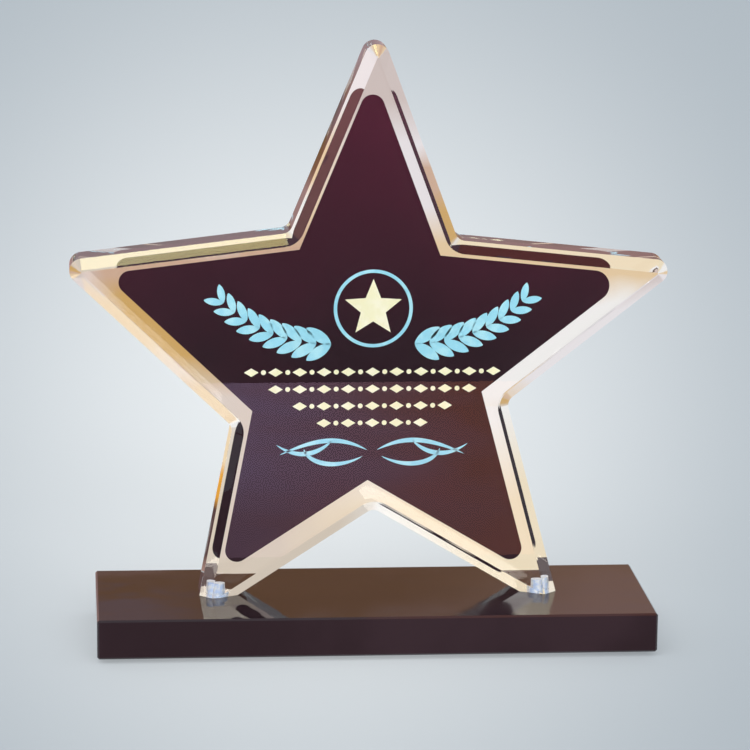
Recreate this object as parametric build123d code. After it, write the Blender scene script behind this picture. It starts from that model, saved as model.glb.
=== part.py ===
from build123d import *
import math
import os

# Star trophy: a thick clear star with a dark print on its back, screwed to a black slab.
# Millimetres. X runs across the front, Y from front to back, Z up.
# The pieces are drawn about the middle of the slab. The star reaches further to one side, so at the
# end all of them move, and the origin is on the table, under the middle of the whole trophy.

# Slab
BASE_WIDTH = 178.0
BASE_DEPTH = 60.0
BASE_HEIGHT = 12.7
BASE_EDGE_EASE = 0.6

# Star, measured on its sharp outline before the tips are rounded and the feet are cut
TIP_RADIUS = 105.4
NOTCH_RADIUS = 47.6
STAR_THICKNESS = 16.0
STAR_SETBACK = 24.2
FOOT_TRIM = 9.2
BEVEL = 3.7
FRONT_TIP_ROUND = 0.3
NOTCH_ROUND = 3.5
BACK_EDGE_EASE = 0.5

# The star was ground by hand, so its corners stand a little off the even outline
TOP_TIP_LIFT = 3.7
UPPER_LEFT_NOTCH_LIFT = 3.9
UPPER_LEFT_NOTCH_INSET = 0.6
LEFT_TIP_REACH = 1.5
LEFT_TIP_LIFT = 0.9
LOWER_LEFT_NOTCH_DROP = 5.6
LEFT_FOOT_INSET = 4.4
RIGHT_FOOT_LIFT = 0.9
LOWER_RIGHT_NOTCH_LIFT = 2.0
LOWER_RIGHT_NOTCH_INSET = 2.6
RIGHT_TIP_INSET = 0.4
RIGHT_TIP_DROP = 0.3
UPPER_RIGHT_NOTCH_LIFT = 1.3
UPPER_RIGHT_NOTCH_INSET = 1.8

# Print on the back of the star, laid by hand too, so that its margin isn't the same on every edge
PRINT_MARGIN = 6.7
WIDE_PRINT_MARGIN = 7.1
NARROW_PRINT_MARGIN = 5.9
PRINT_TIP_ROUND = 3.8
PRINT_RIGHT_TIP_ROUND = 5.0
PRINT_THICKNESS = 0.25

# Screws that hold the star, and the washers under their heads
SCREW_DIAMETER = 4.0
SCREW_ENGAGEMENT = 3.2
SCREW_POINT_EASE = 0.5
SCREW_HEAD_DIAMETER = 7.6
SCREW_HEAD_HEIGHT = 2.7
SCREW_HEAD_ROUND = 1.3
DRIVE_SLOT_LENGTH = 4.2
DRIVE_SLOT_WIDTH = 1.1
DRIVE_SLOT_DEPTH = 1.3
WASHER_DIAMETER = 8.6
WASHER_THICKNESS = 0.8

# Holes for the screws
STAR_HOLE_CLEARANCE = 0.05
STAR_HOLE_END_ROOM = 0.6
SHANK_CLEARANCE = 0.3
COUNTERBORE_CLEARANCE = 0.5
HEAD_RECESS = 1.4

# Bumper feet under the slab
BUMPER_DIAMETER = 10.0
BUMPER_SOLE_DIAMETER = 8.0
BUMPER_HEIGHT = 1.5
BUMPER_INSET = 12.0

# Sizes and places that follow from the ones above
POINTS = 5
STEP_ANGLE = 180.0 / POINTS
TOP_ANGLE = 90.0
TIP_ROUND = BEVEL + FRONT_TIP_ROUND

BASE_BOTTOM = BUMPER_HEIGHT
BASE_TOP = BASE_BOTTOM + BASE_HEIGHT
STAR_CENTRE_HEIGHT = BASE_TOP + TIP_RADIUS * math.cos(math.radians(STEP_ANGLE)) - FOOT_TRIM
STAR_FRONT = STAR_SETBACK - BASE_DEPTH / 2
STAR_BACK = STAR_FRONT + STAR_THICKNESS
STAR_MIDDLE = STAR_FRONT + STAR_THICKNESS / 2

STAR_HOLE_DIAMETER = SCREW_DIAMETER + 2 * STAR_HOLE_CLEARANCE
STAR_HOLE_DEPTH = SCREW_ENGAGEMENT + STAR_HOLE_END_ROOM
SHANK_HOLE_DIAMETER = SCREW_DIAMETER + 2 * SHANK_CLEARANCE
COUNTERBORE_DIAMETER = WASHER_DIAMETER + 2 * COUNTERBORE_CLEARANCE
COUNTERBORE_DEPTH = HEAD_RECESS + SCREW_HEAD_HEIGHT + WASHER_THICKNESS
WASHER_TOP = BASE_BOTTOM + COUNTERBORE_DEPTH
HEAD_TOP = WASHER_TOP - WASHER_THICKNESS
SCREW_TIP = BASE_TOP + SCREW_ENGAGEMENT

ON_FLOOR = (Align.CENTER, Align.CENTER, Align.MIN)
CORNERS = (
    "top_tip", "upper_left_notch", "left_tip", "lower_left_notch", "left_foot",
    "bottom_notch", "right_foot", "lower_right_notch", "right_tip", "upper_right_notch",
)
ROUNDED_TIPS = ("top_tip", "left_tip", "right_tip")
FEET = ("left_foot", "right_foot")
NOTCHES = CORNERS[1::2]
PLAIN_PRINT_TIPS = ("top_tip", "left_tip", "left_foot", "right_foot")
SHIFTS = {
    "top_tip": Vector(0, TOP_TIP_LIFT),
    "upper_left_notch": Vector(UPPER_LEFT_NOTCH_INSET, UPPER_LEFT_NOTCH_LIFT),
    "left_tip": Vector(-LEFT_TIP_REACH, LEFT_TIP_LIFT),
    "lower_left_notch": Vector(0, -LOWER_LEFT_NOTCH_DROP),
    "left_foot": Vector(LEFT_FOOT_INSET, 0),
    "right_foot": Vector(0, RIGHT_FOOT_LIFT),
    "lower_right_notch": Vector(-LOWER_RIGHT_NOTCH_INSET, LOWER_RIGHT_NOTCH_LIFT),
    "right_tip": Vector(-RIGHT_TIP_INSET, -RIGHT_TIP_DROP),
    "upper_right_notch": Vector(-UPPER_RIGHT_NOTCH_INSET, UPPER_RIGHT_NOTCH_LIFT),
}
# Margins of the print by the corner where an edge starts, counter-clockwise from the top
EDGE_MARGINS = {
    "top_tip": NARROW_PRINT_MARGIN,
    "upper_left_notch": WIDE_PRINT_MARGIN,
    "left_tip": WIDE_PRINT_MARGIN,
    "lower_left_notch": NARROW_PRINT_MARGIN,
    "left_foot": WIDE_PRINT_MARGIN,
    "bottom_notch": NARROW_PRINT_MARGIN,
    "lower_right_notch": NARROW_PRINT_MARGIN,
}


def star_corners():
    """The sharp corners of the star by name, across and up from its centre."""
    corners = {}
    for index, name in enumerate(CORNERS):
        angle = math.radians(TOP_ANGLE + STEP_ANGLE * index)
        radius = NOTCH_RADIUS if name in NOTCHES else TIP_RADIUS
        even = Vector(radius * math.cos(angle), radius * math.sin(angle))
        corners[name] = even + SHIFTS.get(name, Vector(0, 0))
    return corners


STAR_CORNERS = star_corners()


def print_corners():
    """The sharp corners of the print, after each edge of the star moves inward by its margin."""
    places = list(STAR_CORNERS.values())
    margins = [EDGE_MARGINS.get(name, PRINT_MARGIN) for name in CORNERS]
    inset = {}
    for index, name in enumerate(CORNERS):
        corner = places[index]
        before = (corner - places[index - 1]).normalized()
        after = (places[(index + 1) % len(places)] - corner).normalized()
        turn = before.X * after.Y - before.Y * after.X
        inset[name] = corner + (after * margins[index - 1] - before * margins[index]) * (1 / turn)
    return inset


def star_face(corners):
    """A flat star with sharp corners."""
    return make_face(Polyline(*corners.values(), close=True))


def round_corners(face, corners, names, radius):
    """Round the named corners of a face."""
    chosen = [face.vertices().sort_by_distance(corners[name])[0] for name in names]
    return fillet(chosen, radius)


def star_plane(depth):
    """A plane across the star at a depth in Y, facing the front."""
    return Plane((0, depth, STAR_CENTRE_HEIGHT), x_dir=(1, 0, 0), z_dir=(0, -1, 0))


def foot_place(foot):
    """The middle of a foot's flat underside, where its screw goes in."""
    cut = BASE_TOP - STAR_CENTRE_HEIGHT
    index = CORNERS.index(foot)
    tip = STAR_CORNERS[foot]
    crossings = []
    for neighbour in (CORNERS[index - 1], CORNERS[index + 1]):
        notch = STAR_CORNERS[neighbour]
        share = (cut - tip.Y) / (notch.Y - tip.Y)
        crossings.append(tip.X + (notch.X - tip.X) * share)
    return Pos(sum(crossings) / len(crossings), STAR_MIDDLE, 0)


def upright(diameter, bottom, top):
    """A round bar on the Z axis between two heights."""
    return Pos(0, 0, bottom) * Cylinder(diameter / 2, top - bottom, align=ON_FLOOR)


def make_star():
    """The clear star: bevelled in front, eased behind, its feet cut flat and drilled."""
    outline = star_face(STAR_CORNERS)
    outline = round_corners(outline, STAR_CORNERS, ROUNDED_TIPS, TIP_ROUND)
    outline = round_corners(outline, STAR_CORNERS, NOTCHES, NOTCH_ROUND)
    star = extrude(star_plane(STAR_FRONT) * outline, amount=-STAR_THICKNESS)
    star = chamfer(star.faces().sort_by(Axis.Y)[0].edges(), BEVEL)
    star = chamfer(star.faces().sort_by(Axis.Y)[-1].edges(), BACK_EDGE_EASE)
    star = split(star, Plane.XY.offset(BASE_TOP), keep=Keep.TOP)
    for foot in FEET:
        star -= foot_place(foot) * upright(STAR_HOLE_DIAMETER, BASE_TOP, BASE_TOP + STAR_HOLE_DEPTH)
    return star


def make_print():
    """The dark film on the star's back, set in from the outline, with rounded tips."""
    corners = print_corners()
    outline = round_corners(star_face(corners), corners, PLAIN_PRINT_TIPS, PRINT_TIP_ROUND)
    outline = round_corners(outline, corners, ["right_tip"], PRINT_RIGHT_TIP_ROUND)
    return extrude(star_plane(STAR_BACK) * outline, amount=-PRINT_THICKNESS)


def make_base():
    """The slab, with a stepped screw hole under each foot of the star."""
    base = Pos(0, 0, BASE_BOTTOM) * Box(BASE_WIDTH, BASE_DEPTH, BASE_HEIGHT, align=ON_FLOOR)
    base = chamfer(base.edges(), BASE_EDGE_EASE)
    for foot in FEET:
        base -= foot_place(foot) * upright(SHANK_HOLE_DIAMETER, BASE_BOTTOM, BASE_TOP)
        base -= foot_place(foot) * upright(COUNTERBORE_DIAMETER, BASE_BOTTOM, WASHER_TOP)
    return base


def make_screw(foot):
    """A pan head screw driven up through the slab, with a cross slot in its head."""
    shank = upright(SCREW_DIAMETER, HEAD_TOP, SCREW_TIP)
    shank = chamfer(shank.edges().sort_by(Axis.Z)[-1], SCREW_POINT_EASE)
    head_bottom = HEAD_TOP - SCREW_HEAD_HEIGHT
    head = upright(SCREW_HEAD_DIAMETER, head_bottom, HEAD_TOP)
    head = fillet(head.edges().sort_by(Axis.Z)[0], SCREW_HEAD_ROUND)
    slot = Box(DRIVE_SLOT_LENGTH, DRIVE_SLOT_WIDTH, DRIVE_SLOT_DEPTH, align=ON_FLOOR)
    slot = Pos(0, 0, head_bottom) * slot
    screw = head + shank - slot - Rot(0, 0, 90) * slot
    return foot_place(foot) * screw


def make_washer(foot):
    """A flat washer between a screw's head and the slab."""
    washer = upright(WASHER_DIAMETER, HEAD_TOP, WASHER_TOP)
    washer -= upright(SHANK_HOLE_DIAMETER, HEAD_TOP, WASHER_TOP)
    return foot_place(foot) * washer


def make_bumper(side, row):
    """A low tapered bumper under one corner of the slab."""
    bumper = Cone(BUMPER_SOLE_DIAMETER / 2, BUMPER_DIAMETER / 2, BUMPER_HEIGHT, align=ON_FLOOR)
    across = side * (BASE_WIDTH / 2 - BUMPER_INSET)
    along = row * (BASE_DEPTH / 2 - BUMPER_INSET)
    return Pos(across, along, 0) * bumper


def make_parts():
    """Every piece of the trophy, by name."""
    parts = {
        "star_body": make_star(),
        "back_print": make_print(),
        "base_block": make_base(),
    }
    for side_name, side in (("left", -1), ("right", 1)):
        foot = side_name + "_foot"
        parts["screw_" + side_name] = make_screw(foot)
        parts["washer_" + side_name] = make_washer(foot)
        for row_name, row in (("front", -1), ("back", 1)):
            parts["bumper_" + row_name + "_" + side_name] = make_bumper(side, row)
    return parts


def centred(parts):
    """The same pieces, moved so that the origin lies under the middle of the whole trophy."""
    boxes = [solid.bounding_box() for solid in parts.values()]
    left = min(box.min.X for box in boxes)
    right = max(box.max.X for box in boxes)
    return {name: Pos(-(left + right) / 2, 0, 0) * solid for name, solid in parts.items()}


os.makedirs("parts", exist_ok=True)
for part_name, solid in centred(make_parts()).items():
    export_step(solid, "parts/" + part_name + ".step")
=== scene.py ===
# %% [markdown]
# # Dressing a star trophy
# The trophy is built as a thick clear acrylic star with a dark film on its back, screwed to a black
# acrylic slab. The solids arrive ready made in the frame. This lesson adds what solids do not have:
# glass that bends light, ink, gloss, small wear, and a calm studio to look at it in.
# The view transform is Standard, so that a colour renders about as it is written.

# %% Load the frame
import math

import bmesh
import bpy
from mathutils import Matrix, Vector


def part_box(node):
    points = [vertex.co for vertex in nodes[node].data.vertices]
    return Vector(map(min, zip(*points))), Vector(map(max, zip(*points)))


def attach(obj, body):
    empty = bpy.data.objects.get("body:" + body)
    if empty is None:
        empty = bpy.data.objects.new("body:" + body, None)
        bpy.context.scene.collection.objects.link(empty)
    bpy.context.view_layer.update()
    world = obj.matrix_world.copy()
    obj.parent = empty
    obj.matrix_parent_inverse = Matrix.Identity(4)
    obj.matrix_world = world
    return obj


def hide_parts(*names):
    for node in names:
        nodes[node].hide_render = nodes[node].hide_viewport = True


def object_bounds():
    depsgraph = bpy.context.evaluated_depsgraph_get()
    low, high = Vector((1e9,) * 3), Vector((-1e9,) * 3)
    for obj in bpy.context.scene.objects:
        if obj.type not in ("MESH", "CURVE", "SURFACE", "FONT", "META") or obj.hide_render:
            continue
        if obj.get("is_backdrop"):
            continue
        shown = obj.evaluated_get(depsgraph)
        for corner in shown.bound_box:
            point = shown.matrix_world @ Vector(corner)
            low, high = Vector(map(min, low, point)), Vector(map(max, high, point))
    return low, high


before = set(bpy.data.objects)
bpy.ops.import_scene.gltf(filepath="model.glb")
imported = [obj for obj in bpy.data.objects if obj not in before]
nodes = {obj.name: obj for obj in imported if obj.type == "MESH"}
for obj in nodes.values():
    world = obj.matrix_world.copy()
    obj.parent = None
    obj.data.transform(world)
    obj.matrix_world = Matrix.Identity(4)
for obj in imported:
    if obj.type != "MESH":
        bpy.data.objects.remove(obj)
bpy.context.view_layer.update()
scene = bpy.context.scene
scene.view_settings.view_transform = "Standard"
MM = 0.001
print("CAD nodes:", ", ".join(sorted(nodes)))

# %% [markdown]
# ## Small helpers
# Every material below is a Principled shader with plain values, plus a few nodes that make one or
# two of its inputs vary. A few short helpers keep that readable: one turns a screen colour into the
# linear values that Blender wants, one adds a node and wires its inputs in a single call, one does a
# small sum, and two start a node group or a material.

# %% Helpers for colours and nodes
SCREEN_WHITE = 255.0
SCREEN_KNEE, SCREEN_SLOPE = 0.04045, 12.92
SCREEN_LIFT, SCREEN_CURVE = 0.055, 2.4


def linear_share(screen):
    """One share of a screen colour, as a share of linear light."""
    share = screen / SCREEN_WHITE
    if share < SCREEN_KNEE:
        return share / SCREEN_SLOPE
    return ((share + SCREEN_LIFT) / (1 + SCREEN_LIFT)) ** SCREEN_CURVE


def linear(red, green, blue):
    """A screen colour, 0 to 255, as the linear colour that a socket takes."""
    return (linear_share(red), linear_share(green), linear_share(blue), 1.0)


def add_node(tree, kind, inputs, **settings):
    """Add a node, set its options, and give each named input a value or a wire."""
    node = tree.nodes.new(kind)
    for option, value in settings.items():
        setattr(node, option, value)
    for name, value in inputs.items():
        if isinstance(value, bpy.types.NodeSocket):
            tree.links.new(value, node.inputs[name])
        else:
            node.inputs[name].default_value = value
    return node


def sum_of(tree, operation, first, second=0.0):
    """The result of one small sum, with values or wires."""
    return add_node(tree, "ShaderNodeMath", {0: first, 1: second}, operation=operation).outputs[0]


def new_group(name, tree_kind, inputs, outputs):
    """Start a node group; returns it with the sockets that come in and those that go out."""
    tree = bpy.data.node_groups.new(name, tree_kind)
    for socket, (kind, value) in inputs.items():
        made = tree.interface.new_socket(socket, in_out="INPUT", socket_type="NodeSocket" + kind)
        if value is not None:
            made.default_value = value
    for socket, kind in outputs.items():
        tree.interface.new_socket(socket, in_out="OUTPUT", socket_type="NodeSocket" + kind)
    return tree, tree.nodes.new("NodeGroupInput").outputs, tree.nodes.new("NodeGroupOutput").inputs


def new_material(name, plain):
    """A material with plain values on its Principled shader; returns it, its tree and the shader."""
    material = bpy.data.materials.new(name)
    material.use_nodes = True
    shader = material.node_tree.nodes["Principled BSDF"]
    for socket, value in plain.items():
        shader.inputs[socket].default_value = value
    return material, material.node_tree, shader


print("helpers ready; mid grey is", round(linear(128, 128, 128)[0], 3), "in linear light")

# %% [markdown]
# ## One group for wear
# Nothing that is handled stays perfectly even: gloss picks up hazy patches from fingers and cloths,
# and under them lies a much finer grain. Both are noise at two sizes, so a single group serves every
# material here, each with its own sizes and amounts. It puts out a patch mask for colours, a
# roughness, and a height for a Bump node.

# %% The wear group
wear, wear_in, wear_out = new_group(
    "surface_wear", "ShaderNodeTree",
    {
        "Coordinates": ("Vector", None),
        "Patch Size": ("Float", 0.02),
        "Grain Size": ("Float", 0.0005),
        "Clean Roughness": ("Float", 0.1),
        "Worn Roughness": ("Float", 0.3),
        "Grain Share": ("Float", 0.3),
    },
    {"Patch": "Float", "Roughness": "Float", "Height": "Float"},
)
PATCH_EDGE_LOW, PATCH_EDGE_HIGH = 0.42, 0.68
PATCH_DETAIL, GRAIN_DETAIL = 4.0, 2.0


def noise_at(tree, coordinates, size, detail):
    """Noise whose lumps are about a given size, in metres."""
    inputs = {"Vector": coordinates, "Scale": sum_of(tree, "DIVIDE", 1.0, size), "Detail": detail}
    return add_node(tree, "ShaderNodeTexNoise", inputs).outputs["Fac"]


lumps = noise_at(wear, wear_in["Coordinates"], wear_in["Patch Size"], PATCH_DETAIL)
grain = noise_at(wear, wear_in["Coordinates"], wear_in["Grain Size"], GRAIN_DETAIL)
patch = add_node(
    wear, "ShaderNodeMapRange",
    {"Value": lumps, "From Min": PATCH_EDGE_LOW, "From Max": PATCH_EDGE_HIGH},
    interpolation_type="SMOOTHSTEP",
).outputs["Result"]
rough = add_node(
    wear, "ShaderNodeMix",
    {"Factor": patch, "A": wear_in["Clean Roughness"], "B": wear_in["Worn Roughness"]},
).outputs["Result"]
height = add_node(wear, "ShaderNodeMix", {"Factor": wear_in["Grain Share"], "A": lumps, "B": grain})
wear.links.new(patch, wear_out["Patch"])
wear.links.new(rough, wear_out["Roughness"])
wear.links.new(height.outputs["Result"], wear_out["Height"])


def add_wear(tree, shader, bump_height, values):
    """Place the wear group in a material: it drives the roughness and a bump of a few microns."""
    coordinates = add_node(tree, "ShaderNodeTexCoord", {})
    group = add_node(tree, "ShaderNodeGroup", {}, node_tree=wear)
    tree.links.new(coordinates.outputs["Object"], group.inputs["Coordinates"])
    for name, value in values.items():
        group.inputs[name].default_value = value
    tree.links.new(group.outputs["Roughness"], shader.inputs["Roughness"])
    bump = add_node(tree, "ShaderNodeBump", {"Height": group.outputs["Height"], "Distance": bump_height})
    tree.links.new(bump.outputs["Normal"], shader.inputs["Normal"])
    return group


# A Mix node lists its sockets for numbers first, then vectors, then colours
MIX_FIRST, MIX_SECOND, MIX_RESULT = 6, 7, 2


def mix_colours(tree, shader, mask, first, second):
    """Let a mask choose between two colours for the base colour."""
    mix = add_node(tree, "ShaderNodeMix", {0: mask, MIX_FIRST: first, MIX_SECOND: second}, data_type="RGBA")
    tree.links.new(mix.outputs[MIX_RESULT], shader.inputs["Base Color"])


print("wear group has", len(wear.nodes), "nodes")

# %% [markdown]
# ## The clear star
# The star is taken to be cast acrylic, here 16 mm thick, with bevels and edges that are ground and
# polished. Its shape is right in the frame, so the piece is a copy of that mesh with its split
# vertices merged and its flats kept flat by angle. The soles of the feet are lifted by a hair: a dry
# joint always traps a film of air, and that film is what makes the soles mirror the inside of the feet.

# %% Copy the star's mesh
SPLIT_VERTEX_GAP = 0.001 * MM
FLAT_ANGLE = math.radians(18)
AIR_FILM = 0.05 * MM
TOUCH = 0.01 * MM


def merged_copy(node_name, piece_name):
    """A new piece with a CAD node's mesh, its split vertices merged and its flats kept flat."""
    mesh = nodes[node_name].data.copy()
    mesh.name = piece_name
    mesh.materials.clear()
    work = bmesh.new()
    work.from_mesh(mesh)
    bmesh.ops.remove_doubles(work, verts=work.verts, dist=SPLIT_VERTEX_GAP)
    bmesh.ops.recalc_face_normals(work, faces=work.faces)
    work.to_mesh(mesh)
    work.free()
    if "custom_normal" in mesh.attributes:
        mesh.attributes.remove(mesh.attributes["custom_normal"])
    mesh.shade_smooth()
    mesh.set_sharp_from_angle(angle=FLAT_ANGLE)
    piece = bpy.data.objects.new(piece_name, mesh)
    scene.collection.objects.link(piece)
    return piece


def seat(piece, stands_for=None):
    """Tie a finished piece to the frame, and hide the node that it stands for."""
    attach(piece, "root")
    if stands_for:
        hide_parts(stands_for)
    print(piece.name, "has", len(piece.data.polygons), "faces")


star = merged_copy("star_body", "star_acrylic")
star_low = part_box("star_body")[0]
for vertex in star.data.vertices:
    if vertex.co.z < star_low.z + TOUCH:
        vertex.co.z += AIR_FILM

# %% [markdown]
# ## Clear acrylic
# Acrylic bends light a little less than window glass, and cast sheet this thick has a faint warm
# cast. A Principled shader with full transmission gives both. Hand-ground bevels are never quite
# flat, and that breaks the colours seen through them into patches, so a slow bump waves the bevels
# only: a mask made from the depth leaves the front face true.

# %% The acrylic material
ACRYLIC_TINT = linear(255, 251, 243)
ACRYLIC_BEND = 1.49
WAVE_LENGTH = 16 * MM
WAVE_HEIGHT = 0.12 * MM
WAVE_DETAIL = 1.0
WAVE_START, WAVE_FULL = 0.05 * MM, 0.5 * MM


def add_waves(tree, shader, length, height, mask=None):
    """Add slow waves to a material's fine bump, all over or only where a mask lets them."""
    fine_normal = shader.inputs["Normal"].links[0].from_socket
    place = add_node(tree, "ShaderNodeTexCoord", {}).outputs["Object"]
    waves = noise_at(tree, place, length, WAVE_DETAIL)
    if mask is not None:
        waves = sum_of(tree, "MULTIPLY", waves, mask)
    bump = add_node(tree, "ShaderNodeBump", {"Height": waves, "Distance": height, "Normal": fine_normal})
    tree.links.new(bump.outputs["Normal"], shader.inputs["Normal"])


acrylic, tree, shader = new_material(
    "clear_acrylic",
    {"Base Color": ACRYLIC_TINT, "Transmission Weight": 1.0, "IOR": ACRYLIC_BEND},
)
add_wear(
    tree, shader, bump_height=0.0005 * MM,
    values={"Patch Size": 0.03, "Grain Size": 0.001, "Clean Roughness": 0.0, "Worn Roughness": 0.02},
)
place = add_node(tree, "ShaderNodeTexCoord", {}).outputs["Object"]
depth = add_node(tree, "ShaderNodeSeparateXYZ", {"Vector": place}).outputs["Y"]
bevel_mask = add_node(
    tree, "ShaderNodeMapRange",
    {"Value": depth, "From Min": star_low.y + WAVE_START, "From Max": star_low.y + WAVE_FULL},
).outputs["Result"]
add_waves(tree, shader, WAVE_LENGTH, WAVE_HEIGHT, bevel_mask)
star.data.materials.append(acrylic)
star.visible_shadow = False
seat(star, "star_body")

# %% [markdown]
# ## Frosted holes
# A drilled hole is the one place on the star that nobody polishes, so its wall stays white and matt,
# and that is most of what shows of a screw in a clear foot. The pale blue in its tones is a painted
# reflection of the sky. The wall lies close around the screw's axis, which is how its faces are found.

# %% Frost the holes
HOLE_REACH = 2.3 * MM
HOLE_END_ROOM = 1.0 * MM
FROST_SLOT = 1
# White frost, with a pale blue that is a painted reflection of the sky
FROST_AND_PAINTED_SKY_TONES = (linear(188, 212, 250), linear(240, 247, 255))
frost, tree, shader = new_material("drilled_acrylic", {"Transmission Weight": 0.45, "IOR": ACRYLIC_BEND})
group = add_wear(
    tree, shader, bump_height=0.02 * MM,
    values={"Patch Size": 0.0012, "Grain Size": 0.0003, "Clean Roughness": 0.3, "Worn Roughness": 0.6},
)
mix_colours(tree, shader, group.outputs["Patch"], *FROST_AND_PAINTED_SKY_TONES)
star.data.materials.append(frost)
for side_name in ("left", "right"):
    low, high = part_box("screw_" + side_name)
    axis = (low.xy + high.xy) / 2
    frosted = 0
    for face in star.data.polygons:
        within = star_low.z + 2 * AIR_FILM < face.center.z < high.z + HOLE_END_ROOM
        if within and (face.center.xy - axis).length < HOLE_REACH:
            face.material_index = FROST_SLOT
            frosted += 1
    print(side_name, "hole has", frosted, "frosted faces")

# %% [markdown]
# ## The film on the back
# The dark panel is a printed film stuck to the back of the star, so it is seen through the whole
# thickness of the acrylic, and again as a dark strip in some of the bevels. Glue wets both faces and
# leaves no air, so the film's front is set a hair inside the acrylic: its ink then meets the light
# with no second surface in front of it. The ink is near black with faint clouds. Its lift to plum
# towards the top is a painted reflection, not a tone of the print. The back of the film is a plain
# satin coat.

# %% The film
GLUE_LAP = 0.05 * MM
film = merged_copy("back_print", "print_film")
film_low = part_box("back_print")[0]
for vertex in film.data.vertices:
    if vertex.co.y < film_low.y + TOUCH:
        vertex.co.y -= GLUE_LAP
INK_FACE = film_low.y - GLUE_LAP

# The ink's own near black, and the plum of a painted reflection over the upper arms
INK_DEEP = linear(38, 25, 33)
INK_PAINTED_SHEEN = linear(70, 29, 46)
PAINTED_SHEEN_START, PAINTED_SHEEN_END = 92 * MM, 175 * MM
CLOUD_SHARE = 0.15
ink, tree, shader = new_material("dark_ink", {"Specular IOR Level": 0.05})
group = add_wear(
    tree, shader, bump_height=0.002 * MM,
    values={"Patch Size": 0.05, "Grain Size": 0.0004, "Clean Roughness": 0.4, "Worn Roughness": 0.55},
)
place = add_node(tree, "ShaderNodeTexCoord", {}).outputs["Object"]
height = add_node(tree, "ShaderNodeSeparateXYZ", {"Vector": place}).outputs["Z"]
# Painted reflection: the ink lightens to plum towards the top, and the wear clouds are added on top of it
clouds_and_painted_sheen = add_node(
    tree, "ShaderNodeMapRange", {"Value": height, "From Min": PAINTED_SHEEN_START, "From Max": PAINTED_SHEEN_END}
).outputs["Result"]
clouds_and_painted_sheen = sum_of(tree, "ADD", clouds_and_painted_sheen, sum_of(tree, "MULTIPLY", group.outputs["Patch"], CLOUD_SHARE))
mix_colours(tree, shader, clouds_and_painted_sheen, INK_DEEP, INK_PAINTED_SHEEN)

COAT_TONES = (linear(46, 36, 42), linear(56, 45, 50))
coat, tree, shader = new_material("film_back", {"Specular IOR Level": 0.4})
group = add_wear(
    tree, shader, bump_height=0.01 * MM,
    values={"Patch Size": 0.03, "Grain Size": 0.0006, "Clean Roughness": 0.35, "Worn Roughness": 0.5},
)
mix_colours(tree, shader, group.outputs["Patch"], *COAT_TONES)

film.data.materials.append(ink)
film.data.materials.append(coat)
INK_SLOT, COAT_SLOT = 0, 1
for face in film.data.polygons:
    face.material_index = INK_SLOT if face.center.y < INK_FACE + TOUCH else COAT_SLOT
seat(film, "back_print")

# %% [markdown]
# ## Inks for the ornament
# Awards carry a light ornament on the dark ground. Two inks are enough, a light blue and a cream.
# Screen ink has a slightly uneven lay, so each mixes two near tones by the patches of the wear group.

# %% The light inks
BLUE_TONES = (linear(150, 216, 240), linear(172, 228, 246))
CREAM_TONES = (linear(240, 240, 206), linear(246, 246, 224))


def light_ink(name, tones):
    """A pale ink with a slightly uneven lay."""
    material, tree, shader = new_material(name, {"Specular IOR Level": 0.05})
    group = add_wear(
        tree, shader, bump_height=0.002 * MM,
        values={"Patch Size": 0.004, "Grain Size": 0.0003, "Clean Roughness": 0.45, "Worn Roughness": 0.6},
    )
    mix_colours(tree, shader, group.outputs["Patch"], *tones)
    return material


blue_ink = light_ink("blue_ink", BLUE_TONES)
cream_ink = light_ink("cream_ink", CREAM_TONES)
print("inks:", blue_ink.name, cream_ink.name)

# %% [markdown]
# ## Laurel branches
# The ornament's main motif is a pair of laurel branches. Leaves repeat, so Geometry Nodes set them
# out: points along a spine, one leaf to each side of every point, smaller towards the end. A leaf is
# a flat disc pulled into a pointed oval. The result is turned into a plain mesh, because a finished
# part should not depend on a modifier.

# %% The branch group
LEAF_CORNERS = 28
LEAF_POINTEDNESS = 1.5
branch, branch_in, branch_out = new_group(
    "laurel_branch", "GeometryNodeTree",
    {
        "Spine": ("Geometry", None),
        "Leaf Pairs": ("Int", 8),
        "Leaf Length": ("Float", 0.01),
        "Leaf Width": ("Float", 0.003),
        "Splay": ("Float", 0.6),
        "End Size": ("Float", 0.6),
        "Ink": ("Material", None),
    },
    {"Geometry": "Geometry"},
)

disc = add_node(
    branch, "GeometryNodeMeshCircle", {"Vertices": LEAF_CORNERS, "Radius": 1.0}, fill_type="NGON"
).outputs["Mesh"]
spot = add_node(branch, "GeometryNodeInputPosition", {}).outputs["Position"]
spot = add_node(branch, "ShaderNodeSeparateXYZ", {"Vector": spot}).outputs
along = sum_of(branch, "MULTIPLY", sum_of(branch, "ADD", spot["X"], 1.0), 0.5)
along = sum_of(branch, "MULTIPLY", along, branch_in["Leaf Length"])
bulge = sum_of(branch, "POWER", sum_of(branch, "ABSOLUTE", spot["Y"]), LEAF_POINTEDNESS)
bulge = sum_of(branch, "MULTIPLY", bulge, sum_of(branch, "SIGN", spot["Y"]))
bulge = sum_of(branch, "MULTIPLY", bulge, sum_of(branch, "MULTIPLY", branch_in["Leaf Width"], 0.5))
outline = add_node(branch, "ShaderNodeCombineXYZ", {"X": along, "Y": bulge}).outputs["Vector"]
leaf = add_node(branch, "GeometryNodeSetPosition", {"Geometry": disc, "Position": outline}).outputs[0]

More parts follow.
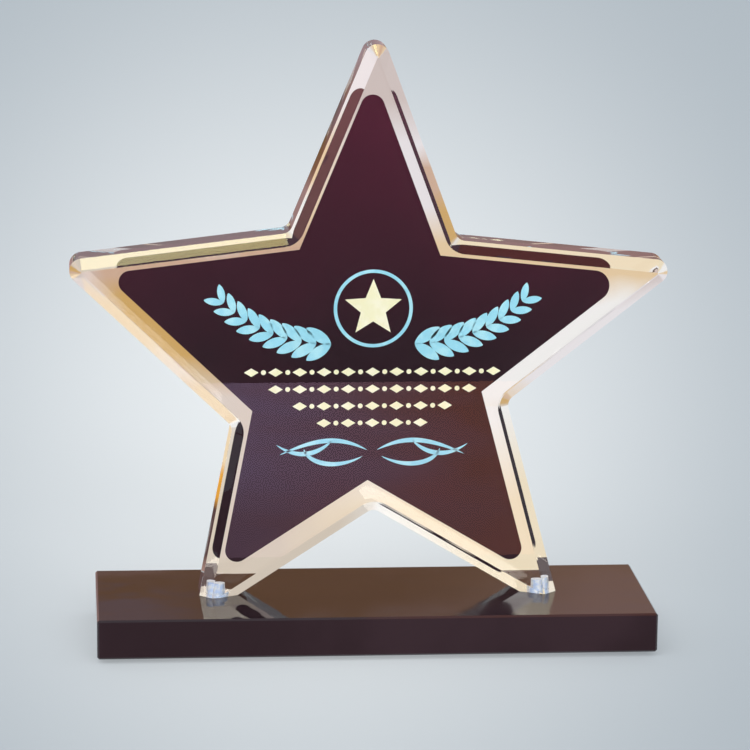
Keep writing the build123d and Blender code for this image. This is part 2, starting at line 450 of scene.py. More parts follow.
stations = add_node(
    branch, "GeometryNodeCurveToPoints",
    {"Curve": branch_in["Spine"], "Count": branch_in["Leaf Pairs"]}, mode="COUNT",
).outputs
facing = add_node(
    branch, "FunctionNodeAlignRotationToVector", {"Vector": stations["Tangent"]},
    axis="X", pivot_axis="Z",
).outputs["Rotation"]
number = add_node(branch, "GeometryNodeInputIndex", {}).outputs["Index"]
share = sum_of(branch, "DIVIDE", number, branch_in["Leaf Pairs"])
size = add_node(
    branch, "ShaderNodeMapRange", {"Value": share, "To Min": 1.0, "To Max": branch_in["End Size"]}
).outputs["Result"]
sides = add_node(branch, "GeometryNodeJoinGeometry", {})
for side in (-1.0, 1.0):
    turn = sum_of(branch, "MULTIPLY", branch_in["Splay"], side)
    turn = add_node(branch, "ShaderNodeCombineXYZ", {"Z": turn}).outputs["Vector"]
    turn = add_node(branch, "FunctionNodeEulerToRotation", {"Euler": turn}).outputs["Rotation"]
    turn = add_node(
        branch, "FunctionNodeRotateRotation", {"Rotation": facing, "Rotate By": turn},
        rotation_space="LOCAL",
    ).outputs["Rotation"]
    leaves = add_node(
        branch, "GeometryNodeInstanceOnPoints",
        {"Points": stations["Points"], "Instance": leaf, "Rotation": turn, "Scale": size},
    ).outputs["Instances"]
    branch.links.new(leaves, sides.inputs["Geometry"])
real = add_node(branch, "GeometryNodeRealizeInstances", {"Geometry": sides.outputs["Geometry"]}).outputs[0]
inked = add_node(branch, "GeometryNodeSetMaterial", {"Geometry": real, "Material": branch_in["Ink"]})
branch.links.new(inked.outputs["Geometry"], branch_out["Geometry"])
print("branch group has", len(branch.nodes), "nodes")

# %% [markdown]
# ## Laying ornament on the ink
# Each motif is drawn flat, across and up from the star's centre, and then stood up on the film. The
# ornament is ink, so it has no thickness worth building; it only has to lie a hair in front of the
# ground colour. Running a group on an object takes a modifier, whose values are set by each socket's
# identifier before anything is evaluated.

# %% Helpers that lay motifs down
STAR_CENTRE_HEIGHT = 90.27 * MM
INK_LIFT = 0.03 * MM
UPRIGHT = Matrix.Rotation(math.radians(90), 4, "X")
slab_low, slab_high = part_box("base_block")
SLAB_MIDDLE = (slab_low.x + slab_high.x) / 2
STAND_UP = Matrix.Translation((SLAB_MIDDLE, INK_FACE - INK_LIFT, STAR_CENTRE_HEIGHT)) @ UPRIGHT


def run_group(source, group, values, piece_name):
    """Evaluate a geometry node group on an object and return the result as a plain piece."""
    modifier = source.modifiers.new(group.name, "NODES")
    modifier.node_group = group
    for item in group.interface.items_tree:
        if item.in_out == "INPUT" and item.name in values:
            modifier[item.identifier] = values[item.name]
    scene.collection.objects.link(source)
    graph = bpy.context.evaluated_depsgraph_get()
    mesh = bpy.data.meshes.new_from_object(source.evaluated_get(graph))
    source.modifiers.clear()
    bpy.data.objects.remove(source)
    mesh.name = piece_name
    piece = bpy.data.objects.new(piece_name, mesh)
    scene.collection.objects.link(piece)
    return piece


def lay_down(piece):
    """Stand a flat motif up on the film, facing the front, and tie it to the frame."""
    piece.data.transform(STAND_UP)
    seat(piece)


def flat_piece(name, outlines, material):
    """A piece of flat faces, each outline a list of places across and up, in millimetres."""
    mesh = bpy.data.meshes.new(name)
    places = []
    faces = []
    for outline in outlines:
        faces.append(range(len(places), len(places) + len(outline)))
        places += [(x * MM, y * MM, 0) for x, y in outline]
    mesh.from_pydata(places, [], [list(face) for face in faces])
    mesh.materials.append(material)
    piece = bpy.data.objects.new(name, mesh)
    scene.collection.objects.link(piece)
    return piece


# %% Grow the two branches
LEAVES = {
    "Leaf Pairs": 9, "Leaf Length": 9.5 * MM, "Leaf Width": 3.6 * MM,
    "Splay": math.radians(34), "End Size": 0.62, "Ink": blue_ink,
}
BRANCH_PATH = ((13.5, 5.0), (26.0, 5.0), (38.0, 9.0), (48.0, 18.5))


def spine(points):
    """One smooth bow through a start, two handles and an end, in millimetres, as a curve object."""
    start, leave, arrive, end = [Vector((x * MM, y * MM, 0)) for x, y in points]
    curve = bpy.data.curves.new("spine", "CURVE")
    bow = curve.splines.new("BEZIER")
    bow.bezier_points.add(1)
    for knot, place, handle in zip(bow.bezier_points, (start, end), (leave, arrive)):
        knot.co = place
        knot.handle_left = handle
        knot.handle_right = handle
    return bpy.data.objects.new("spine", curve)


for side_name, side in (("left", -1), ("right", 1)):
    path = [(side * x, y) for x, y in BRANCH_PATH]
    lay_down(run_group(spine(path), branch, LEAVES, "laurel_" + side_name))

# %% [markdown]
# ## The small star and its ring
# Between the branches sits a small star in cream inside a thin blue ring. Both are plain outlines
# worked out from a radius and a count, which is shorter than drawing them.

# %% Draw the emblem
EMBLEM = (0.0, 16.5)
EMBLEM_STAR_OUT, EMBLEM_STAR_IN = 9.6, 4.2
RING_IN, RING_OUT, RING_STEPS = 11.6, 12.7, 72
STAR_POINTS = 5


def around(radius, share):
    """The place at a radius about the emblem, a share of a turn anticlockwise from the top."""
    angle = math.radians(90) + 2 * math.pi * share
    return (EMBLEM[0] + radius * math.cos(angle), EMBLEM[1] + radius * math.sin(angle))


corner_radii = (EMBLEM_STAR_OUT, EMBLEM_STAR_IN) * STAR_POINTS
emblem_outline = [around(radius, i / len(corner_radii)) for i, radius in enumerate(corner_radii)]
lay_down(flat_piece("emblem_star", [emblem_outline], cream_ink))
ring = []
for i in range(RING_STEPS):
    here, there = i / RING_STEPS, (i + 1) / RING_STEPS
    inner = [around(RING_IN, there), around(RING_IN, here)]
    ring.append(inner + [around(RING_OUT, here), around(RING_OUT, there)])
lay_down(flat_piece("emblem_ring", ring, blue_ink))

# %% [markdown]
# ## Rows of lozenges
# Under the emblem run a few rows of small lozenges and dots, each shorter than the one above. They
# repeat, so a second group sets them out on a line: every even place takes a lozenge and every odd
# place a dot.

# %% The row group
row, row_in, row_out = new_group(
    "lozenge_row", "GeometryNodeTree",
    {
        "Geometry": ("Geometry", None),
        "Places": ("Int", 9),
        "Spacing": ("Float", 0.004),
        "Height": ("Float", 0.0),
        "Lozenge": ("Float", 0.002),
        "Dot": ("Float", 0.001),
        "Ink": ("Material", None),
    },
    {"Geometry": "Geometry"},
)
LOZENGE_SIDES, DOT_SIDES = 4, 20
LOZENGE_STRETCH = (1.35, 0.8, 1.0)
gaps = sum_of(row, "SUBTRACT", row_in["Places"], 1.0)
half = sum_of(row, "MULTIPLY", sum_of(row, "MULTIPLY", gaps, row_in["Spacing"]), -0.5)
begin = add_node(row, "ShaderNodeCombineXYZ", {"X": half, "Y": row_in["Height"]}).outputs["Vector"]
step = add_node(row, "ShaderNodeCombineXYZ", {"X": row_in["Spacing"]}).outputs["Vector"]
line = add_node(
    row, "GeometryNodeMeshLine", {"Count": row_in["Places"], "Start Location": begin, "Offset": step}
).outputs["Mesh"]
lozenge = add_node(
    row, "GeometryNodeMeshCircle", {"Vertices": LOZENGE_SIDES, "Radius": row_in["Lozenge"]}, fill_type="NGON"
).outputs["Mesh"]
dot = add_node(
    row, "GeometryNodeMeshCircle", {"Vertices": DOT_SIDES, "Radius": row_in["Dot"]}, fill_type="NGON"
).outputs["Mesh"]
number = add_node(row, "GeometryNodeInputIndex", {}).outputs["Index"]
odd = sum_of(row, "MODULO", number, 2.0)
even = sum_of(row, "SUBTRACT", 1.0, odd)
beads = add_node(row, "GeometryNodeJoinGeometry", {})
for motif, chosen, stretch in ((lozenge, even, LOZENGE_STRETCH), (dot, odd, (1.0, 1.0, 1.0))):
    placed = add_node(
        row, "GeometryNodeInstanceOnPoints",
        {"Points": line, "Selection": chosen, "Instance": motif, "Scale": stretch},
    ).outputs["Instances"]
    row.links.new(placed, beads.inputs["Geometry"])
real = add_node(row, "GeometryNodeRealizeInstances", {"Geometry": beads.outputs["Geometry"]}).outputs[0]
inked = add_node(row, "GeometryNodeSetMaterial", {"Geometry": real, "Material": row_in["Ink"]})
row.links.new(inked.outputs["Geometry"], row_out["Geometry"])
print("row group has", len(row.nodes), "nodes")

# %% Set out the rows
ROWS = {"row_top": (21, -4.2), "row_upper": (17, -9.8), "row_lower": (13, -15.4), "row_bottom": (9, -21.0)}
BEADS = {"Spacing": 3.9 * MM, "Lozenge": 1.75 * MM, "Dot": 0.8 * MM, "Ink": cream_ink}


def blank():
    """An object with an empty mesh, for a group that makes all of its shape by itself."""
    return bpy.data.objects.new("blank", bpy.data.meshes.new("blank"))


for row_name, (places, row_height) in ROWS.items():
    values = dict(BEADS, Places=places, Height=row_height * MM)
    lay_down(run_group(blank(), row, values, row_name))

# %% [markdown]
# ## A flourish
# The last motif is a pair of mirrored pen strokes. A stroke is a smooth path with a width that swells
# in the middle and runs out to nothing, so a helper walks along a path and lays a quad between each
# two stations.

# %% Draw the flourish
STROKE_STEPS = 40
STROKE_WIDTH = 1.5
STROKE_SWELL = 0.7
FLOURISH = (
    ((1.5, -30.0), (10.0, -25.5), (17.0, -25.5), (30.0, -31.5)),
    ((3.0, -32.0), (12.0, -37.0), (21.0, -34.0), (22.0, -29.5)),
    ((13.0, -26.8), (17.0, -31.0), (23.5, -33.5), (31.0, -28.0)),
)


def bow_point(points, t):
    """A place and a unit normal on a bow, a share t along it."""
    a, b, c, d = [Vector(p) for p in points]
    s = 1 - t
    spot = a * s ** 3 + b * (3 * s * s * t) + c * (3 * s * t * t) + d * t ** 3
    heading = (b - a) * (s * s) + (c - b) * (2 * s * t) + (d - c) * (t * t)
    return spot, Vector((-heading.y, heading.x)).normalized()


def stroke(points, side):
    """The quads of a swelling pen stroke along a bow, mirrored for the left side."""
    edges = []
    for i in range(STROKE_STEPS + 1):
        t = i / STROKE_STEPS
        spot, normal = bow_point(points, t)
        reach = normal * (STROKE_WIDTH / 2 * math.sin(math.pi * t) ** STROKE_SWELL)
        edges.append((spot - reach, spot + reach))
    quads = []
    for (low, high), (next_low, next_high) in zip(edges, edges[1:]):
        quad = [low, next_low, next_high, high]
        quad = [(side * place.x, place.y) for place in quad]
        quads.append(quad if side > 0 else quad[::-1])
    return quads


strokes = [quad for side in (-1, 1) for points in FLOURISH for quad in stroke(points, side)]
lay_down(flat_piece("flourish", strokes, blue_ink))

# %% [markdown]
# ## The black slab
# The slab is black cast acrylic with polished faces. Its solid is right as it is, so it only gets a
# better finish: nearly black, very smooth, with soft hazy patches where it has been wiped. At the
# low angle of the photograph the top mirrors what stands behind it. Haze greys that mirror, and the
# slow waves of a cast sheet bend it a little.

# %% Finish the slab


def dress(node_name, material):
    """Give a CAD node a better material and leave its mesh alone."""
    mesh = nodes[node_name].data
    mesh.materials.clear()
    mesh.materials.append(material)
    print(node_name, "wears", material.name)


SLAB_WAVE_LENGTH = 14 * MM
SLAB_WAVE_HEIGHT = 0.1 * MM
SLAB_TONES = (linear(42, 31, 35), linear(50, 37, 42))
slab, tree, shader = new_material("black_acrylic", {"IOR": ACRYLIC_BEND})
group = add_wear(
    tree, shader, bump_height=0.0008 * MM,
    values={"Patch Size": 0.05, "Grain Size": 0.0008, "Clean Roughness": 0.03, "Worn Roughness": 0.14},
)
mix_colours(tree, shader, group.outputs["Patch"], *SLAB_TONES)
add_waves(tree, shader, SLAB_WAVE_LENGTH, SLAB_WAVE_HEIGHT)
dress("base_block", slab)

# %% [markdown]
# ## Screws, washers and bumpers
# How the trophy is held can't be seen, so it has what is usual: two zinc plated screws with washers
# come up from below, and four clear bumpers carry the slab. They are small and mostly hidden, so plain
# finishes do: a grey metal with a cloudy plating, and a soft, cloudy, half clear rubber.

# %% Finish the small parts
ZINC_TONES = (linear(232, 240, 252), linear(205, 218, 240))
RUBBER_TONES = (linear(232, 232, 230), linear(218, 218, 216))
steel, tree, shader = new_material("zinc_steel", {"Metallic": 1.0})
group = add_wear(
    tree, shader, bump_height=0.004 * MM,
    values={"Patch Size": 0.002, "Grain Size": 0.0003, "Clean Roughness": 0.32, "Worn Roughness": 0.5},
)
mix_colours(tree, shader, group.outputs["Patch"], *ZINC_TONES)

rubber, tree, shader = new_material("clear_rubber", {"Transmission Weight": 0.6, "IOR": 1.45})
group = add_wear(
    tree, shader, bump_height=0.01 * MM,
    values={"Patch Size": 0.003, "Grain Size": 0.0004, "Clean Roughness": 0.3, "Worn Roughness": 0.5},
)
mix_colours(tree, shader, group.outputs["Patch"], *RUBBER_TONES)

for node_name in sorted(nodes):
    if node_name.startswith("washer"):
        dress(node_name, steel)
    if node_name.startswith("bumper"):
        dress(node_name, rubber)

# %% [markdown]
# ## Screw threads
# The ends of the screws show through the clear feet, and a smooth bar would look wrong there. The
# thread is a coil with a three-sided section, which Geometry Nodes make from a spiral and a triangle.
# The shank is drawn in to the root of the thread, so the screw keeps its outer size.

# %% The thread group
thread, thread_in, thread_out = new_group(
    "screw_thread", "GeometryNodeTree",
    {
        "Geometry": ("Geometry", None),
        "Turns": ("Float", 10.0),
        "Length": ("Float", 0.01),
        "Ridge Radius": ("Float", 0.0018),
        "Ridge Size": ("Float", 0.0003),
        "Metal": ("Material", None),
    },
    {"Geometry": "Geometry"},
)
TURN_STEPS, RIDGE_SIDES = 40, 3
coil = add_node(
    thread, "GeometryNodeCurveSpiral",
    {
        "Resolution": TURN_STEPS, "Rotations": thread_in["Turns"], "Height": thread_in["Length"],
        "Start Radius": thread_in["Ridge Radius"], "End Radius": thread_in["Ridge Radius"],
    },
).outputs["Curve"]
ridge_shape = {"Resolution": RIDGE_SIDES, "Radius": thread_in["Ridge Size"]}
section = add_node(thread, "GeometryNodeCurvePrimitiveCircle", ridge_shape).outputs["Curve"]
ridge = add_node(
    thread, "GeometryNodeCurveToMesh", {"Curve": coil, "Profile Curve": section, "Fill Caps": True}
).outputs["Mesh"]
real = add_node(thread, "GeometryNodeRealizeInstances", {"Geometry": ridge}).outputs[0]
plated = add_node(thread, "GeometryNodeSetMaterial", {"Geometry": real, "Material": thread_in["Metal"]})
thread.links.new(plated.outputs["Geometry"], thread_out["Geometry"])
print("thread group has", len(thread.nodes), "nodes")

# %% Cut the threads
ROOT_SHARE = 0.8
RIDGE_SIZE = 0.26 * MM
PITCH = 0.8 * MM
END_ROOM = 0.7 * MM
for side_name in ("left", "right"):
    screw = merged_copy("screw_" + side_name, "screw_core_" + side_name)
    low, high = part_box("screw_" + side_name)
    seat_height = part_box("washer_" + side_name)[1].z
    middle = (low + high) / 2
    shank_radius = max(
        (v.co.xy - middle.xy).length for v in screw.data.vertices if v.co.z > high.z - END_ROOM
    )
    for vertex in screw.data.vertices:
        reach = vertex.co.xy - middle.xy
        if vertex.co.z > seat_height - TOUCH and reach.length < shank_radius + TOUCH:
            vertex.co.xy = middle.xy + reach * ROOT_SHARE
    screw.data.materials.append(steel)
    seat(screw, "screw_" + side_name)
    length = high.z - END_ROOM - seat_height
    values = {
        "Turns": length / PITCH, "Length": length, "Ridge Size": RIDGE_SIZE,
        "Ridge Radius": shank_radius - RIDGE_SIZE - TOUCH, "Metal": steel,
    }
    ridge = run_group(blank(), thread, values, "screw_thread_" + side_name)
    ridge.data.transform(Matrix.Translation((middle.x, middle.y, seat_height)))
    seat(ridge)

# %% [markdown]
# ## The camera
# The camera was found by matching the corners of the slab and of the star to the photograph: a long
# lens, a little to the left, looking down by about twelve degrees. Its three axes are written out
# as found, and a small shift puts the middle of the picture where it was.

# %% Place the camera
CAMERA_PLACE = Vector((-0.09615, -1.13988, 0.33630))
CAMERA_RIGHT = Vector((0.99653, -0.08261, 0.00998))
CAMERA_UP = Vector((0.00801, 0.21466, 0.97666))
CAMERA_FORWARD = Vector((0.08282, 0.97319, -0.21458))
LENS, SENSOR = 175.8, 36.0
SHIFT_ACROSS, SHIFT_UP = 0.0047, 0.0044
FAR_END = 50.0

view = bpy.data.cameras.new("view")
view.sensor_width = SENSOR
view.lens = LENS
view.shift_x = SHIFT_ACROSS
view.shift_y = SHIFT_UP
view.clip_end = FAR_END
camera = bpy.data.objects.new("camera", view)
axes = Matrix((CAMERA_RIGHT, CAMERA_UP, -CAMERA_FORWARD)).transposed().to_4x4()
camera.matrix_world = Matrix.Translation(CAMERA_PLACE) @ axes
scene.collection.objects.link(camera)
scene.camera = camera
print("camera", [round(x, 3) for x in camera.location], "lens", LENS)

# %% [markdown]
# ## A floor with a soft glow
# The trophy stands on a plain pale floor that is brightest behind it and darkens gently outwards. The
# glow is painted: seen from the camera a round glow is a long oval on the floor, so the paint works
# out how far each place on the floor lies from the middle of the glow. Half of the paint shines by
# itself, which keeps the shadow soft. It does so for the camera and for what is seen in a mirror or
# through the acrylic, but not for scattered light, so that it adds no light to the trophy.

# %% Paint the floor
FLOOR_REACH = 6.0
GLOW_MIDDLE = linear(234, 238, 240)
GLOW_OUTER = linear(176, 185, 192)
GLOW_CENTRE = (-0.015, -0.010, 0.0)
GLOW_HALF_WIDTH = 0.165
EVEN_SHARE = 0.5


def on_view(tree):
    """One for what the camera sees, by itself, in a mirror or through the acrylic, and else nought."""
    rays = add_node(tree, "ShaderNodeLightPath", {}).outputs
    clear = sum_of(tree, "MAXIMUM", rays["Is Glossy Ray"], rays["Is Transmission Ray"])
    return sum_of(tree, "MAXIMUM", rays["Is Camera Ray"], clear)


def flat_stage(name, corners, material):
    """One flat quad of the stage."""
    mesh = bpy.data.meshes.new(name)
    mesh.from_pydata(corners, [], [[0, 1, 2, 3]])
    mesh.materials.append(material)
    quad = bpy.data.objects.new(name, mesh)
    scene.collection.objects.link(quad)
    quad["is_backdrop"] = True
    return quad


glow, glow_in, glow_out = new_group(
    "floor_glow", "ShaderNodeTree", {"Coordinates": ("Vector", None)}, {"Outward": "Float"}
)
offset = add_node(
    glow, "ShaderNodeVectorMath", {0: glow_in["Coordinates"], 1: CAMERA_PLACE}, operation="SUBTRACT"
).outputs["Vector"]


def share_along(axis):
    """How much of the way from the camera to the floor lies along one of its axes."""
    share = add_node(glow, "ShaderNodeVectorMath", {0: offset, 1: axis}, operation="DOT_PRODUCT")
    return share.outputs["Value"]


across = sum_of(glow, "DIVIDE", share_along(CAMERA_RIGHT), share_along(CAMERA_FORWARD))
upward = sum_of(glow, "DIVIDE", share_along(CAMERA_UP), share_along(CAMERA_FORWARD))
spot = add_node(glow, "ShaderNodeCombineXYZ", {"X": across, "Y": upward}).outputs["Vector"]
reach = add_node(
    glow, "ShaderNodeVectorMath", {0: spot, 1: GLOW_CENTRE}, operation="DISTANCE"
).outputs["Value"]
outward = add_node(
    glow, "ShaderNodeMapRange",
    {"Value": reach, "From Max": GLOW_HALF_WIDTH}, interpolation_type="SMOOTHSTEP",
).outputs["Result"]
glow.links.new(outward, glow_out["Outward"])

paint, tree, shader = new_material("floor_paint", {"Roughness": 0.9, "Specular IOR Level": 0.0})
place = add_node(tree, "ShaderNodeTexCoord", {}).outputs["Object"]
group = add_node(tree, "ShaderNodeGroup", {}, node_tree=glow)
tree.links.new(place, group.inputs["Coordinates"])
mix_colours(tree, shader, group.outputs["Outward"], GLOW_MIDDLE, GLOW_OUTER)
even = add_node(
    tree, "ShaderNodeEmission", {"Color": shader.inputs["Base Color"].links[0].from_socket}
).outputs["Emission"]
share = sum_of(tree, "MULTIPLY", on_view(tree), EVEN_SHARE)
seen = add_node(tree, "ShaderNodeMixShader", {0: share, 1: shader.outputs["BSDF"], 2: even})
tree.links.new(seen.outputs["Shader"], tree.nodes["Material Output"].inputs["Surface"])
floor_corners = [(x * FLOOR_REACH, y * FLOOR_REACH, 0) for x, y in ((-1, -1), (1, -1), (1, 1), (-1, 1))]
flat_stage("floor", floor_corners, paint)
print("floor", FLOOR_REACH * 2, "m across")

# %% [markdown]
# ## Reflector cards
# Clear and glossy things have no look of their own: they show their surroundings. Photographers put
# coloured cards just outside the picture for that, and so does this scene, with none of them seen by
# the camera. A card has two columns of tones, one for its left and one for its right, and a cloudy
# border between them, so that no straight line shows in the mirrors.

# %% A helper for cards
CLOUD_SIZE = 0.045
CLOUD_REACH = 0.06
CLOUD_DETAIL = 5.0
LEVEL_SHARE = 0.3
NOISE_MIDDLE = 0.5


def tone_along(tree, level, stops):
    """A tone that runs through stops, each a level in metres and a tone, from the lowest to the highest."""
    start, end = stops[0][0], stops[-1][0]
    share = add_node(tree, "ShaderNodeMapRange", {"Value": level, "From Min": start, "From Max": end})
    ramp = add_node(tree, "ShaderNodeValToRGB", {"Fac": share.outputs["Result"]})
    elements = ramp.color_ramp.elements
    elements[0].color = stops[0][1]
    elements[1].color = stops[-1][1]
    for stop, tone in stops[1:-1]:
        elements.new((stop - start) / (end - start)).color = tone
    return ramp.outputs["Color"]


def reflector(name, corners, left, right, change, glossy, strength=1.0):
    """A card with tones along its left and along its right, which change into each other between two
    places across, and that only glossy rays or only transmitted rays can see."""
    upright = corners[0][2] != corners[2][2]
    material = bpy.data.materials.new(name)
    material.use_nodes = True
    tree = material.node_tree
    tree.nodes.remove(tree.nodes["Principled BSDF"])
    place = add_node(tree, "ShaderNodeTexCoord", {}).outputs["Object"]
    spot = add_node(tree, "ShaderNodeSeparateXYZ", {"Vector": place}).outputs
    cloud = sum_of(tree, "SUBTRACT", noise_at(tree, place, CLOUD_SIZE, CLOUD_DETAIL), NOISE_MIDDLE)
    cloud = sum_of(tree, "MULTIPLY", cloud, CLOUD_REACH)
    across = sum_of(tree, "ADD", spot["X"], cloud)
    level = sum_of(tree, "ADD", spot["Z" if upright else "Y"], sum_of(tree, "MULTIPLY", cloud, LEVEL_SHARE))
    mask = add_node(
        tree, "ShaderNodeMapRange", {"Value": across, "From Min": change[0], "From Max": change[1]}
    ).outputs["Result"]
    tones = {0: mask, MIX_FIRST: tone_along(tree, level, left), MIX_SECOND: tone_along(tree, level, right)}
    mix = add_node(tree, "ShaderNodeMix", tones, data_type="RGBA").outputs[MIX_RESULT]
    light = add_node(tree, "ShaderNodeEmission", {"Color": mix, "Strength": strength}).outputs["Emission"]
    tree.links.new(light, tree.nodes["Material Output"].inputs["Surface"])
    card = flat_stage(name, corners, material)
    card.visible_camera = False
    card.visible_diffuse = False
    card.visible_shadow = False
    card.visible_glossy = glossy
    card.visible_transmission = not glossy
    print(name, "is seen by", "glossy" if glossy else "transmitted", "rays")


def standing(left, right, depth, low, high):
    """The corners of an upright card that faces the front."""
    return [(left, depth, low), (right, depth, low), (right, depth, high), (left, depth, high)]


def facing_right(place, front, back, low, high):
    """The corners of an upright card on the left, which faces across."""
    return [(place, front, low), (place, back, low), (place, back, high), (place, front, high)]


def lying(left, right, front, back, level):
    """The corners of a flat card at a height above the floor."""
    return [(left, front, level), (right, front, level), (right, back, level), (left, back, level)]


def plain(tone):
    """The same tone along the whole of a column."""
    return ((0.0, tone), (1.0, tone))


# %% [markdown]
# ## Cards for the mirrors
# The slab's top and the star's upper walls mirror what stands far behind: brown low down and mauve
# above, with a greyer patch on the left. The left leg's outer wall mirrors the table behind it, in
# patches of amber and shade. Bevels that face left mirror a pink card beside the table, and those that
# face up mirror what hangs above, a bright gold card on the left and a dull orange one on the right.
# A dark cloth lies on the table in front, or else the pale floor would cloud the star's front, and on
# the cloth lies a card for the sheen low on the star, from violet to brown.

# %% Set up the glossy cards
BROWN, BROWN_LIGHT, SAND = linear(158, 118, 82), linear(190, 150, 124), linear(196, 160, 146)
BLUSH, SHADE, AMBER = linear(235, 184, 166), linear(84, 62, 60), linear(224, 160, 60)
BUFF, CLOTH = linear(236, 214, 178), linear(96, 70, 74)
GREY, MAUVE, ROSE = linear(156, 129, 127), linear(206, 182, 184), linear(204, 166, 160)
VIOLET, VIOLET_DULL, COPPER = linear(225, 198, 255), linear(190, 150, 180), linear(222, 137, 104)
GOLD_PALE, GOLD_DEEP = linear(252, 246, 190), linear(255, 234, 150)
ORANGE, ORANGE_DULL = linear(255, 144, 60), linear(240, 150, 90)
SIDE_STRENGTH, WALL_STRENGTH, GOLD_STRENGTH, SHEEN_STRENGTH = 2.5, 1.6, 8.5, 2.2
# Where a card has the same tones on both sides, the place of the change doesn't matter
ANYWHERE = (-1.0, 1.0)

reflector(
    "back_card", standing(-1.2, 1.2, 0.45, 0.0, 0.9),
    ((0.158, BROWN), (0.175, MAUVE)), ((0.138, BROWN_LIGHT), (0.148, SAND), (0.158, SAND), (0.175, ROSE)),
    (0.06, 0.14), True,
)
reflector(
    "grey_card", standing(-1.2, -0.02, 0.449, 0.0, 0.16),
    ((0.115, ROSE), (0.128, BROWN), (0.138, BROWN), (0.148, GREY)), plain(BROWN), (-0.06, -0.03), True,
)
reflector(
    "side_card", facing_right(-0.35, -0.3, -0.043, 0.155, 0.4),
    plain(BLUSH), plain(BLUSH), ANYWHERE, True, SIDE_STRENGTH,
)
WALL_TONES = ((0.07, SAND), (0.11, SHADE), (0.18, SHADE), (0.20, AMBER), (0.235, AMBER), (0.26, BUFF))
reflector(
    "wall_card", lying(-0.6, -0.03, 0.085, 0.449, 0.001),
    WALL_TONES, WALL_TONES, ANYWHERE, True, WALL_STRENGTH,
)
reflector("dark_cloth", lying(-0.7, 0.7, -1.8, -0.032, 0.0005), plain(CLOTH), plain(CLOTH), ANYWHERE, True)
for card_name, corners in (
    ("gold_card", lying(-0.29, -0.085, -0.32, -0.06, 1.0)),
    ("gold_strip", lying(-0.085, -0.04, -0.228, -0.06, 1.0)),
):
    reflector(card_name, corners, plain(GOLD_PALE), plain(GOLD_DEEP), (-0.26, -0.08), True, GOLD_STRENGTH)
reflector(
    "orange_card", lying(0.08, 0.60, -0.34, 0.04, 1.0),
    plain(ORANGE), plain(ORANGE_DULL), (0.1, 0.4), True,
)
reflector(
    "sheen_card", lying(-0.12, 0.16, -0.385, -0.104, 0.001),
    ((-0.24, VIOLET), (-0.15, VIOLET_DULL)), plain(COPPER), (-0.04, 0.07), True, SHEEN_STRENGTH,
)

# %% [markdown]
# ## Cards for the clear edges
# Through the clear margins the eye meets what stands close behind the star. Flat margins look straight
# through, while a bevel looks away from its own edge, so each part of the outline has its own place on
# these cards: gold for the left arm, white for the lower edge of the right one, lilac for the top.

# %% Set up the cards for transmitted light
CREAM, CREAM_YELLOW, GOLD = linear(216, 206, 196), linear(240, 228, 204), linear(206, 168, 104)
TAN, PEACH, WHITE = linear(206, 174, 154), linear(230, 206, 172), linear(244, 246, 252)
LILAC, DUSK, STONE = linear(234, 232, 242), linear(208, 196, 198), linear(120, 114, 100)
LOW_TONES = ((0.045, CREAM), (0.060, GOLD), (0.080, GOLD), (0.088, TAN), (0.098, TAN))
LEFT_TONES = (*LOW_TONES, (0.112, PEACH), (0.132, PEACH), (0.150, DUSK))
SIDE_TONES = (*LOW_TONES, (0.106, LILAC), (0.120, DUSK))
RIGHT_TONES = (
    (0.030, CREAM_YELLOW), (0.045, WHITE), (0.078, WHITE), (0.088, PEACH),
    (0.100, PEACH), (0.112, LILAC), (0.135, LILAC), (0.150, DUSK),
)

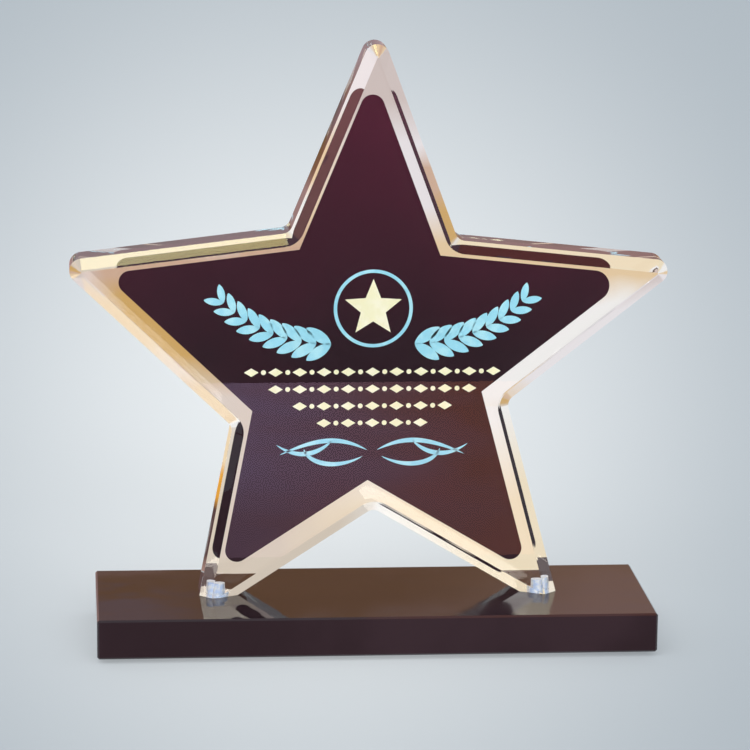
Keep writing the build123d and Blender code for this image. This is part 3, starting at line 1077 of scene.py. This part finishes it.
reflector("clear_card", standing(-1.2, 1.2, 0.16, 0.0, 0.8), LEFT_TONES, RIGHT_TONES, (-0.010, 0.008), False)
reflector(
    "left_card", standing(-1.2, -0.034, 0.159, 0.0, 0.8), plain(DUSK), SIDE_TONES, (-0.10, -0.085), False
)
reflector(
    "leg_card", standing(-0.12, 0.2, 0.06, 0.0, 0.063),
    plain(CREAM), ((0.030, CREAM_YELLOW), (0.058, WHITE)), (-0.02, 0.02), False,
)
reflector(
    "left_table", lying(-1.2, -0.03, 0.035, 0.159, 0.001),
    plain(STONE), plain(CREAM), (-0.075, -0.055), False,
)
reflector(
    "right_table", lying(-0.03, 1.2, 0.035, 0.16, 0.001),
    plain(CREAM), plain(CREAM_YELLOW), (0.0, 0.05), False,
)

# %% [markdown]
# ## Soft light
# An even pale sky does most of the work. What is seen of it has the tone of the floor's outer part, so
# that no horizon shows. A broad sun from the upper left gives the slab a soft shadow, and a lower one
# from the front lights the print. Together they add up to about one, so that colours stay as they are
# written. Mirrors don't show the suns, which would burn a white patch into the slab's top when it is
# seen from behind.

# %% Light the scene
SKY_COLOUR = linear(246, 248, 250)
SKY_STRENGTH = 0.8
BACKDROP_STRENGTH = 1.045
KEY_STRENGTH, FILL_STRENGTH = 0.8, 1.6
KEY_FROM, FILL_FROM = Vector((-0.5, -0.7, 1.1)), Vector((0.2, -1.0, 0.3))
SUN_SPREAD = math.radians(40)

world = bpy.data.worlds.new("sky")
world.use_nodes = True
tree = world.node_tree
sky = tree.nodes["Background"]
sky.inputs["Color"].default_value = SKY_COLOUR
sky.inputs["Strength"].default_value = SKY_STRENGTH
backdrop = add_node(tree, "ShaderNodeBackground", {"Color": GLOW_OUTER, "Strength": BACKDROP_STRENGTH})
shades = {0: on_view(tree), 1: sky.outputs["Background"], 2: backdrop.outputs["Background"]}
seen = add_node(tree, "ShaderNodeMixShader", shades)
tree.links.new(seen.outputs["Shader"], tree.nodes["World Output"].inputs["Surface"])
scene.world = world
SUNS = {"key": (KEY_FROM, KEY_STRENGTH), "fill": (FILL_FROM, FILL_STRENGTH)}
for sun_name, (sun_from, strength) in SUNS.items():
    lamp = bpy.data.lights.new(sun_name, "SUN")
    lamp.energy = strength
    lamp.angle = SUN_SPREAD
    sun = bpy.data.objects.new(sun_name, lamp)
    sun.rotation_euler = sun_from.to_track_quat("Z", "Y").to_euler()
    sun.visible_glossy = False
    scene.collection.objects.link(sun)
    print(sun_name, "sun of strength", strength)

# %% [markdown]
# ## Measure
# The dressed trophy should stay inside the box of its solids, so its own box is printed.

# %% Print the size of the dressed trophy
low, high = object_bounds()
print("visual box", [round((b - a) / MM, 2) for a, b in zip(low, high)], "mm")
